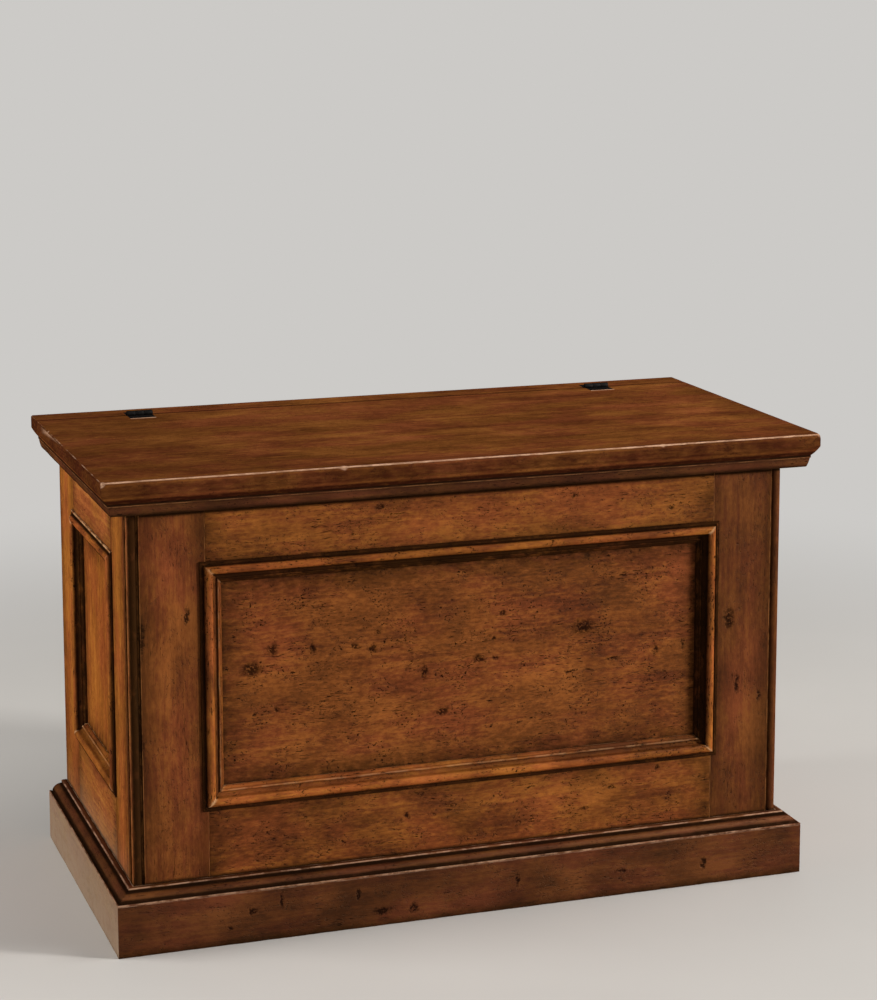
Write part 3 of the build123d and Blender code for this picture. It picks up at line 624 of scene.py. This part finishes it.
STILE_MARKS = marks_at(
    FRONT_FACE,
    (375, 362, 4, 9), (-375, 430, 2, 7), (-434, 405, 2.5, 16), (-439, 322, 2, 18), (-436, 262, 2.5, 12),
    (421, 250, 1.5, 5), (388, 270, 2, 7))
PLINTH_MARKS = marks_at(
    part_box("plinth_front")[0].y,
    (-262, 52, 1.5, 6), (-300, 42, 3, 2), (-330, 22, 2, 2), (-160, 46, 1.5, 5), (-128, 20, 7, 3),
    (-84, 18, 4, 4), (60, 40, 1.5, 5), (210, 34, 4, 2), (330, 30, 2, 5))

CAKED = {"soil_and_shade": BLACK_GRIME_AND_SHADE, "kept": 0.85}     # dirt that the years have packed into mouldings, with their painted shade
stile_wood, right_stile_wood = (
    wood(name, "Z", srgb(*shade), patches=1.0, mottle=0.5, marks=STILE_MARKS, shade_outside=True, kept=0.85)
    for name, shade in (("stile_wood", (105, 54, 24)), ("right_stile_wood", (89, 45, 19))))
rail_wood = wood("rail_wood", "X", srgb(117, 63, 25), figure=0.5, patches=1.0, mottle=0.7, dashes=1.2,
                 specks=1.0, marks=RAIL_MARKS, shade_outside=True)
# Some of the photograph's light is in these colours. The left side's woods make up for its shade under the
# lamps below, and the left plinth board is pale for what is probably a reflection. The right is a guess.
# The sides also pale towards the floor in a painted reflection of it, weaker on the right.
side_wood = {}
for side, glare, shades in (("left", 1.0, ((148, 86, 37), (142, 83, 40), (142, 80, 34))),
                           ("right", 0.3, ((108, 58, 26), (112, 61, 26), (110, 58, 24)))):
    stile, rail, panel = (srgb(*shade) for shade in shades)
    side_wood[side] = {
        "stile": wood(f"{side}_side_stile_wood", "Z", stile, floor_glare=0.35 * glare, shine=0.012, shade_outside=True),
        "rail": wood(f"{side}_side_rail_wood", "Y", rail, floor_glare=0.8 * glare, shine=0.012, shade_outside=True),
        "panel": wood(f"{side}_side_panel_wood", "Z", panel, mottle=0.4, shine=0.012)}
panel_wood = wood("panel_wood", "X", srgb(107, 55, 23), patches=0.9, mottle=0.9, specks=1.3, dashes=1.3,
                  marks=PANEL_MARKS, gold=0.04)
moulding_wood = woods("moulding_wood", "XYZ", srgb(132, 73, 29), patches=1.3, dashes=1.4, specks=1.1,
                      edge=CREAM, rubbed=0.7, **CAKED)
# The cornice's wood is darkened as painted shade from the lid above it.
cornice_wood = woods("cornice_wood", "XY", srgb(72, 37, 17), patches=1.2, dashes=1.0, edge=TAN, rubbed=0.5,
                     **CAKED)
plinth_moulding_wood = woods("plinth_moulding_wood", "XY", srgb(78, 41, 20), patches=1.2, dashes=1.0,
                             edge=CHAFED_AND_LIT, rubbed=0.5, **CAKED)
plinth_wood = woods("plinth_wood", "XY", srgb(75, 37, 17), patches=1.4, dashes=1.0, edge=CHAFED_AND_LIT, rubbed=0.3,
                    marks=PLINTH_MARKS)
# The left plinth board's pale colour is a painted reflection of the floor.
glared_plinth_wood = wood("glared_plinth_wood", "Y", srgb(132, 98, 72), floor_glare=1.0, shine=0.03, edge=CHAFED_AND_LIT)
lid_wood = wood("lid_wood", "X", srgb(107, 60, 28), patches=0.8, figure=0.5, mottle=0.4, dashes=0.6,
                specks=0.6, rubbed=0.85, shine=0.008, edge=CHAFED_AND_LIT, steady=0.5, soil_and_shade=RED_GRIME_AND_SHADE,
                smudges=(14, 4), kept=0.7)
bare_wood = woods("bare_wood", "XYZ", srgb(132, 94, 60), rough=0.7, spread=0.25)
black_iron = iron("black_iron")


# ---------- frames and panels
BEAD_RADIUS, BEAD_QUIRK, BEAD_SUNK = 6.5 * MM, 2 * MM, 3.5 * MM
BEAD_ZONE = 2 * BEAD_RADIUS + BEAD_QUIRK    # width of bead and quirk


def bead_outline():
    """Plan of the front left stile, whose outer corner is a bead between two quirks, as (x, y, on bead)."""
    left, front = -HALF_WIDTH, FRONT_FACE
    right, back = -STILE_EDGE, front + WALL
    cx, cy = left + BEAD_RADIUS, front + BEAD_RADIUS
    rise = BEAD_RADIUS - BEAD_SUNK
    out = math.sqrt(BEAD_RADIUS ** 2 - rise ** 2)
    flat = line((left + BEAD_ZONE, front + BEAD_SUNK), (left + BEAD_ZONE, front), (right, front),
                (right, back), (left, back), (left, front + BEAD_ZONE),
                (left + BEAD_SUNK, front + BEAD_ZONE), (left + BEAD_SUNK, cy + out))
    first = math.atan2(out, -rise)
    turn = 1.5 * math.pi - 2 * (first - math.pi / 2)
    count = round(turn * BEAD_RADIUS / OUTLINE_STEP)
    around = [first + turn * i / count for i in range(count)]
    bead = [(cx + BEAD_RADIUS * math.cos(angle), cy + BEAD_RADIUS * math.sin(angle)) for angle in around]
    floor = line((cx + out, front + BEAD_SUNK), (left + BEAD_ZONE, front + BEAD_SUNK))
    return [(*p, 0.0) for p in flat] + [(*p, 1.0) for p in bead + floor]


def beaded_stile(name, side, bead_shade, material):
    """A front stile: side 1 is the left one and -1 its mirror image. bead_shade paints shade on its bead.
    """
    outline = bead_outline()
    shape = [(x, y) for x, y, _ in outline]
    seed = random.Random(name).random() * 10
    places = []
    for (x, y, bead), turn, deep in zip(outline, outline_wear(shape), outline_grime(shape)):
        edge = 1 - smooth((min(-STILE_EDGE - x, x + HALF_WIDTH - BEAD_ZONE) + 4 * MM) / PATINA_REACH)
        facing = smooth((FRONT_FACE + 4.5 * MM - y) / (4 * MM))
        # Painted shade in the quirks and on the bead's front; patina on the flat faces near their edges.
        dark = max(deep * bead_shade * 1.2, bead_shade * bead * facing, PATINA * edge * (1 - bead))
        # The bead's side is lighter: a painted highlight.
        places.append((x * side, y, max(turn, 0.8 * bead * (1 - facing)), dark))
    rings = [[(waved(Vector((x, y, z)), seed), worn, dark) for x, y, worn, dark in places]
             for z in stations(0.0, RIM, STATION * 1.5)]
    make_piece(name, rings, [name], "chest", material)


def clipped(node, **limits):
    """A node's box with some of its limits replaced, such as x0=... for its lowest x."""
    low, high = (v.copy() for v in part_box(node))
    for key, value in limits.items():
        (low if key[1] == "0" else high)["xyz".index(key[0])] = value
    return low, high


def front_frame():
    beaded_stile("front_left_stile", 1, 1.0, stile_wood)
    beaded_stile("front_right_stile", -1, 0.3, right_stile_wood)
    for rail in ("front_top_rail", "front_bottom_rail"):
        low, high = clipped(rail, x0=-STILE_EDGE, x1=STILE_EDGE)
        plank(rail, low, high, 0, rail_wood, "walnut_frame", wear_and_highlight=FRAME_WEAR)
    plank("front_panel", *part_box("front_panel"), 0, panel_wood, "walnut_panel", PANEL_COVER, PANEL_RIM_SHADE,
          PANEL_STEP)


def side_frames():
    for side, finish in side_wood.items():
        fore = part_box(f"{side}_front_stile")[1].y
        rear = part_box(f"{side}_back_stile")[0].y
        for stile in (f"{side}_front_stile", f"{side}_back_stile"):
            plank(stile, *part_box(stile), 2, finish["stile"], "walnut_frame", wear_and_highlight=FRAME_WEAR)
        for rail in (f"{side}_top_rail", f"{side}_bottom_rail"):
            low, high = clipped(rail, y0=fore, y1=rear)
            plank(rail, low, high, 1, finish["rail"], "walnut_frame", wear_and_highlight=FRAME_WEAR)
        plank(f"{side}_panel", *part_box(f"{side}_panel"), 2, finish["panel"], "walnut_panel", PANEL_COVER,
              PANEL_RIM_SHADE, PANEL_STEP)


def back_frame():
    right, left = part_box("back_right_stile")[0].x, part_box("back_left_stile")[1].x
    for stile in ("back_left_stile", "back_right_stile"):
        plank(stile, *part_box(stile), 2, bare_wood["Z"], "inside_wood")
    for rail in ("back_top_rail", "back_bottom_rail"):
        plank(rail, *clipped(rail, x0=left, x1=right), 0, bare_wood["X"], "inside_wood")
    plank("back_panel", *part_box("back_panel"), 0, bare_wood["X"], "inside_wood")


def moulding_frame(prefix, places, across, face, outwards):
    """The four mitred mouldings round a panel. across is the wall's horizontal axis, 0 for X, 1 for Y."""
    section = panel_moulding_section()
    side = AXES[across]
    low_name, high_name = places
    a0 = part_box(f"{prefix}_{low_name}_moulding")[0][across]
    a1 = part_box(f"{prefix}_{high_name}_moulding")[1][across]
    z0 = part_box(f"{prefix}_bottom_moulding")[0].z
    z1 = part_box(f"{prefix}_top_moulding")[1].z
    base = outwards * face
    grain = "XY"[across]
    corners = {(i, j): base + side * (a0, a1)[i] + Z * (z0, z1)[j] for i in (0, 1) for j in (0, 1)}
    rubbed_top = across == 1    # a side's top moulding has a painted highlight where the others have painted shadow
    # The right and top members' inner slopes get strong painted shade, the left and bottom less, and the
    # outer fillets painted shadow.
    members = (
        (low_name, corners[0, 0], corners[0, 1], side, "Z", (6.5 * MM, 16 * MM, 0.4)),
        (high_name, corners[1, 0], corners[1, 1], -side, "Z", (4 * MM, 14.5 * MM, 0.92)),
        ("bottom", corners[0, 0], corners[1, 0], Z, grain, (5 * MM, 16 * MM, 0.2)),
        ("top", corners[0, 1], corners[1, 1], -Z, grain, (0.0 if rubbed_top else 4 * MM, 14.5 * MM, 0.92)),
    )
    for place, start, end, inwards, axis, painted_shade in members:
        edge_glint = 1.0 if rubbed_top and place == "top" else 0.0
        moulding(f"{prefix}_{place}_moulding", section, start, end, inwards, outwards, (1, 1),
                 moulding_wood[axis], painted_shade=painted_shade, edge_glint=edge_glint)


def mouldings():
    moulding_frame("front", ("left", "right"), 0, -FRONT_FACE, -Y)
    moulding_frame("left", ("front", "back"), 1, HALF_WIDTH, -X)
    moulding_frame("right", ("front", "back"), 1, HALF_WIDTH, X)


# ---------- cornice and plinth
def surround(name, section, height, finishes, foot=0.0, head_shade=0.0):
    """Mouldings round the front and both ends, mitred in front. finishes are for front, left and right."""
    front_left, front_right, back_left, back_right = (
        Vector((x, y, height)) for y in (FRONT_FACE, BACK_FACE) for x in (-HALF_WIDTH, HALF_WIDTH))
    runs = (("front", front_left, front_right, -Y, (-1, -1)), ("left", front_left, back_left, -X, (-1, 0)),
            ("right", front_right, back_right, X, (-1, 0)))
    for (place, start, end, outwards, leans), finish in zip(runs, finishes):
        moulding(f"{name}_{place}", section, start, end, outwards, Z, leans, finish, foot, head_shade)


def plinth_section():
    low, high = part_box("plinth_front")
    height, thickness = high.z, high.y - low.y
    return line((0, 0), (thickness, 0), (thickness, height), (0, height), (0, 0))


def surrounds():
    surround("cornice", cornice_section(), CORNICE_FOOT, [cornice_wood[axis] for axis in "XYY"],
             foot=6 * MM, head_shade=2.6 * MM)
    surround("plinth", plinth_section(), 0.0, (plinth_wood["X"], glared_plinth_wood, plinth_wood["Y"]),
             foot=14 * MM)
    surround("plinth_moulding", plinth_moulding_section(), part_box("plinth_moulding_front")[0].z,
             [plinth_moulding_wood[axis] for axis in "XYY"])


# ---------- lid
SPLAY_DEPTH, SPLAY_HEIGHT, SPLAY_SWELL = 9 * MM, 13 * MM, 0.8 * MM  # the lid's slanting lower edges
SPLAY_STEPS = 12
LID_ARRIS = 2 * MM
SEAM_ARRIS = 0.8 * MM
FLAT_STEPS = 6              # a flat face keeps one in this many of an outline's points
STEP = 0.02 * MM            # width of a recess's upright walls
WALL_ENDS = -STEP / 2, STEP / 2     # its start and end, about its middle
LEAF_HALF = 18.2 * MM       # half the width of a hinge's recess
LEAF_REACH, LEAF_DEPTH = 24.2 * MM, 1.8 * MM        # the recess under its leaves
TROUGH_REACH, TROUGH_DEPTH = 4.6 * MM, 2.4 * MM     # the recess under its knuckles
HINGE_GLINT = 6 * MM              # width of the painted highlight in front of a hinge
# how far from its left end the lid is darker, which may be light and not stain
LID_SHADE_REACH = 320 * MM        # how far from its left end the lid's top gets painted shade, darker towards that end
BLUNTING = 6 * MM           # how far from an edge wear and bruises press sideways
FAR = 1.0                   # distance from a moulded front where there is none
HINGE_CENTRES = [sum(v.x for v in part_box(f"{side}_hinge_lid_leaf")) / 2 for side in ("left", "right")]
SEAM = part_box("left_hinge_pin")[0].y / 2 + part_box("left_hinge_pin")[1].y / 2
BRUISES = [(Vector((x, y, LID_HIGH.z)), radius * MM, deep * MM) for x, y, radius, deep in (
    (LID_LOW.x, LID_LOW.y, 9, 2.2), (LID_HIGH.x, LID_LOW.y, 8, 1.2), (LID_LOW.x, LID_LOW.y + 0.36, 5, 1.2),
    (LID_LOW.x + 0.31, LID_LOW.y, 9, 1.2), (LID_HIGH.x - 0.23, LID_LOW.y, 7, 1.0))]


def slab_section(front, back, moulded_front):
    """Section of the lid or the batten across its depth, as (y, z), with fine steps at the recesses."""
    top, bottom = LID_HIGH.z, LID_LOW.z
    small = SEAM_ARRIS
    bulge = -QUARTER_BULGE * small
    foot = front + (SPLAY_DEPTH if moulded_front else small)
    outline = line((foot, bottom), (back - small, bottom))[::FLAT_STEPS]
    outline += arc(back - small, bottom, back, bottom + small, bulge)
    outline += line((back, bottom + small), (back, top - small))
    outline += arc(back, top - small, back - small, top, bulge)
    away = 1 if moulded_front else -1
    walls = [SEAM - away * reach + end for reach in (LEAF_REACH, TROUGH_REACH) for end in WALL_ENDS]
    first = front + (LID_ARRIS if moulded_front else small)
    flat = [y for y, _ in line((back - small, 0), (first, 0))[::FLAT_STEPS]]
    outline += [(y, top) for y in sorted(flat + [y for y in walls if first < y < back - small])[::-1]]
    if moulded_front:
        outline += arc(front + LID_ARRIS, top, front, top - LID_ARRIS, -QUARTER_BULGE * LID_ARRIS)
        outline += line((front, top - LID_ARRIS), (front, bottom + SPLAY_HEIGHT))
        outline += arc(front, bottom + SPLAY_HEIGHT, front + SPLAY_DEPTH, bottom, -SPLAY_SWELL)
    else:
        outline += arc(front + small, top, front, top - small, bulge)
        outline += line((front, top - small), (front, bottom + small))
        outline += arc(front, bottom + small, front + small, bottom, bulge)
    return outline


def slab_places():
    """Where the slab's rings lie along X, with fine steps in its splayed ends and at the recesses."""
    half = LID_HIGH.x
    splay = [SPLAY_DEPTH * i / SPLAY_STEPS for i in range(SPLAY_STEPS)]
    places = [-half + d for d in splay] + [half - d for d in splay]
    places += stations(-half + SPLAY_DEPTH, half - SPLAY_DEPTH, STATION * 0.8)
    places += [centre + side * (LEAF_HALF + end)
               for centre in HINGE_CENTRES for side in (-1, 1) for end in WALL_ENDS]
    return sorted(places)


def slab_limits(depth):
    """The slab's lowest and highest z at this depth from its nearer end."""
    low, high = LID_LOW.z, LID_HIGH.z
    if depth < SPLAY_DEPTH:
        t = 1 - depth / SPLAY_DEPTH
        low = LID_LOW.z + SPLAY_HEIGHT * t - 4 * SPLAY_SWELL * t * (1 - t)
    if depth < LID_ARRIS:
        high = LID_HIGH.z - LID_ARRIS + math.sqrt(LID_ARRIS ** 2 - (LID_ARRIS - depth) ** 2)
    return low, high


def recess_depth(x, y):
    """How deep the recess for a hinge is at a place on the lid's top."""
    away = abs(y - SEAM)
    if min(abs(x - centre) for centre in HINGE_CENTRES) > LEAF_HALF or away > LEAF_REACH:
        return 0.0
    return TROUGH_DEPTH if away < TROUGH_REACH else LEAF_DEPTH


def in_hinge_glint(x, y):
    """Whether a place is in the painted highlight in front of a hinge's recess."""
    beside = min(abs(x - centre) for centre in HINGE_CENTRES) < LEAF_HALF
    return beside and 0 < SEAM - LEAF_REACH - y < HINGE_GLINT


def slab_dirt_and_shade(x, y, z, to_front, blotch):
    """How dark the slab is at a place. blotch is noise that breaks up the dirt on its lower edges."""
    top, bottom = LID_HIGH.z, LID_LOW.z
    depth = LID_HIGH.x - abs(x)
    edge = min(depth, to_front)
    strength, clean = (0.62, 2 * MM) if to_front < depth else (0.8, -3 * MM)
    dark = smooth(1 - edge / (3 * MM)) * smooth((top - clean - z) / (5 * MM)) * (strength + 0.3 * blotch)
    # Painted shade on the slab's lowest part near its edges, under its overhang.
    rim_shade = 1 - smooth((edge - 10 * MM) / (30 * MM))
    dark = max(dark, rim_shade * smooth((bottom + 8 * MM - z) / (4 * MM)))
    if z > top - 3 * MM:
        dark = max(dark, 0.35 * (1 - smooth(min(0.5 * depth, to_front) / PATINA_REACH)))
        # Painted shade on the top, darker towards its left end.
        dark = max(dark, 0.35 * (1 - smooth((x + LID_HIGH.x) / LID_SHADE_REACH)))
        dark = max(dark, 0.8 * smooth(1.4 - abs(y - SEAM) / (4 * MM)))
    return dark


def slab(name, front, back, moulded_front, body):
    """The lid or the batten behind it: a slab with splayed ends, bruised and worn along its arrises.

    Only a moulded front is splayed and worn, since the batten's lies against the lid.
    """
    top = LID_HIGH.z
    seed = random.Random(name).random() * 10
    section = slab_section(front, back, moulded_front)
    rings = []
    for x in slab_places():
        depth = LID_HIGH.x - abs(x)
        low, high = slab_limits(depth)
        ring = []
        for y, level in section:
            z = max(low, min(high, level))
            point = Vector((x, y, z))
            to_front = y - front if moulded_front else FAR
            worn = smooth(1 - max(min(depth, to_front), top - z) / (3.5 * MM))
            long_rub, short_rub = (max(0.0, uneven(point, seed, length)) for length in LID_RUBS)
            rub = worn * (0.25 + long_rub + 0.7 * short_rub)
            dent = max(deep * smooth(1 - (point - spot).length / radius) for spot, radius, deep in BRUISES)
            inwards = Vector((-1.0 if x > 0 else 1.0, 0, 0)) * smooth(1 - depth / BLUNTING)
            inwards += Y * smooth(1 - to_front / BLUNTING) - Z * worn
            point += inwards * (rub * LID_RUB + dent * 0.6)
            if level > top - STEP:
                point.z = min(point.z, top - recess_depth(x, y))
            # The lid's front arris is lightest: real wear with a painted highlight.
            rubbed = 0.8 + rub if to_front < depth else 0.2 + 0.8 * rub
            shown = max(worn * rubbed, min(1.0, dent / MM))
            # A painted highlight in front of each hinge.
            if moulded_front and in_hinge_glint(x, y):
                shown = 0.9
            dark = slab_dirt_and_shade(x, y, z, to_front, uneven(point, seed + 1, 20 * MM))
            ring.append((waved(point, seed), shown, dark))
        rings.append(ring)
    make_piece(name, rings, [name], body, lid_wood)


# ---------- the CAD solids that stay in view
SOLID_WOODS = {
    "X": ("floor_board_front", "floor_board_back", "floor_cleat_front", "floor_cleat_back"),
    "Y": ("floor_cleat_left", "floor_cleat_right", "lid_left_cleat", "lid_right_cleat"),
}


def ease(solid, width):
    """Rounds a solid's edges slightly."""
    joined = solid.modifiers.new("joined", "WELD")
    joined.merge_threshold = 0.01 * MM
    eased = solid.modifiers.new("eased", "BEVEL")
    eased.width = width
    eased.segments = 2
    eased.limit_method = "ANGLE"
    eased.angle_limit = math.radians(40)


def dress_solids():
    for axis, nodes in SOLID_WOODS.items():
        for node in nodes:
            frame["nodes"][node].data.materials[0] = bare_wood[axis]
    for node, solid in frame["nodes"].items():
        is_iron = "hinge" in node or "screws" in node
        if is_iron:
            solid.data.materials[0] = black_iron
        if not solid.hide_render:
            ease(solid, (0.25 if is_iron else 1.0) * MM)


slab("lid_board", LID_LOW.y, LID_HIGH.y, True, "lid")
slab("rear_batten", BATTEN_LOW.y, BATTEN_HIGH.y, False, "chest")
mouldings()
front_frame()
side_frames()
back_frame()
surrounds()
dress_solids()


# ---------- floor, light and camera
PALE = srgb(204, 202, 199)
WARM = (1.0, 0.97, 0.93)
SOFT = (1.0, 0.97, 0.94, 1.0)
SOFT_LEVEL = 0.11           # strength of the light from all round
FLOOR_RADIUS = 90.0
FLOOR_NEAR, FLOOR_FAR = 0.9, 2.4    # the floor turns into plain background between these distances
LAMPS = (
    # name, place, target, sides in metres, watts
    ("key", (7.8, -4.7, 2.4), (0, -0.2, 0.35), (1.1, 1.1), 950),
    ("top", (1.5, -0.5, 2.3), (0, 0, 0.5), (1.4, 1.4), 36),
    ("left", (-2.4, 0.3, 1.3), (-0.45, 0, 0.3), (1.1, 1.1), 42),
    ("front", (-0.6, -3.6, 1.6), (0, -0.2, 0.3), (2.2, 1.2), 6),
)
FRAME_LONG = 1000           # pixels along the photograph's longer side
FOCAL_PIXELS = 2567.2
SENSOR = 36.0
CAMERA_PLACE = Vector((-1.0861, -3.2777, 1.2619))
CAMERA_YAW = -0.3285
CAMERA_PITCH = 0.156
CAMERA_ROLL = 0.0015
CAMERA_SHIFT = -0.15


def seen_or_mirrored(tree):
    """1 for rays that the camera sees, straight, mirrored or through glass, and 0 for those that light."""
    path = tree.nodes.new("ShaderNodeLightPath")
    total = path.outputs["Is Camera Ray"]
    for name in ("Is Glossy Ray", "Is Transmission Ray"):
        both = tree.nodes.new("ShaderNodeMath")
        both.operation = "MAXIMUM"
        tree.links.new(total, both.inputs[0])
        tree.links.new(path.outputs[name], both.inputs[1])
        total = both.outputs[0]
    return total


def floor_material():
    """A plain pale floor that keeps shadows near the chest and is plain background further off."""
    g = Graph("studio_floor")
    place = g.add("ShaderNodeTexCoord", output="Object")
    grain = g.noise(place, (300, 300), 3.0)
    colour = g.mix(g.fade(grain, 0.3, 0.7), PALE, tinted(PALE, 0.98, 0.98, 0.98))
    plain = g.add("ShaderNodeBsdfPrincipled", {"Base Color": colour, "Roughness": 0.6,
                                               "Specular IOR Level": 0.2})
    glow = g.add("ShaderNodeEmission", {"Color": PALE})
    away = g.vector("LENGTH", place, output=1)
    far = g.math("MULTIPLY", g.fade(away, FLOOR_NEAR, FLOOR_FAR), seen_or_mirrored(g.tree))
    both = g.add("ShaderNodeMixShader", {0: far, 1: plain, 2: glow})
    g.end(both)
    return g.material


def studio_floor():
    bpy.ops.mesh.primitive_circle_add(vertices=96, radius=FLOOR_RADIUS, fill_type="NGON")
    floor = bpy.context.object
    floor.name = "studio_floor"
    floor.data.materials.append(floor_material())


def lamp(name, place, target, sides, power):
    data = bpy.data.lights.new(name, "AREA")
    data.shape = "RECTANGLE"
    data.size, data.size_y = sides
    data.energy = power
    data.color = WARM
    light = bpy.data.objects.new(name, data)
    light.location = place
    light.rotation_euler = (Vector(target) - Vector(place)).to_track_quat("-Z", "Y").to_euler()
    bpy.context.scene.collection.objects.link(light)


def world():
    """A pale background for the camera, and soft light from all round for everything else."""
    made = bpy.data.worlds.new("studio")
    bpy.context.scene.world = made
    made.use_nodes = True
    tree = made.node_tree
    tree.nodes.clear()
    seen = tree.nodes.new("ShaderNodeBackground")
    seen.inputs[0].default_value = PALE
    soft = tree.nodes.new("ShaderNodeBackground")
    soft.inputs[0].default_value = SOFT
    soft.inputs[1].default_value = SOFT_LEVEL
    choose = tree.nodes.new("ShaderNodeMixShader")
    out = tree.nodes.new("ShaderNodeOutputWorld")
    tree.links.new(seen_or_mirrored(tree), choose.inputs[0])
    tree.links.new(soft.outputs[0], choose.inputs[1])
    tree.links.new(seen.outputs[0], choose.inputs[2])
    tree.links.new(choose.outputs[0], out.inputs[0])


def camera():
    data = bpy.data.cameras.new("camera")
    data.sensor_width = SENSOR
    data.lens = FOCAL_PIXELS / FRAME_LONG * SENSOR
    data.shift_y = CAMERA_SHIFT
    shot = bpy.data.objects.new("camera", data)
    shot.location = CAMERA_PLACE
    shot.rotation_euler = (math.pi / 2 - CAMERA_PITCH, CAMERA_ROLL, CAMERA_YAW)
    bpy.context.scene.collection.objects.link(shot)
    bpy.context.scene.camera = shot


studio_floor()
world()
for settings in LAMPS:
    lamp(*settings)
camera()
bpy.context.scene.view_settings.view_transform = "Standard"
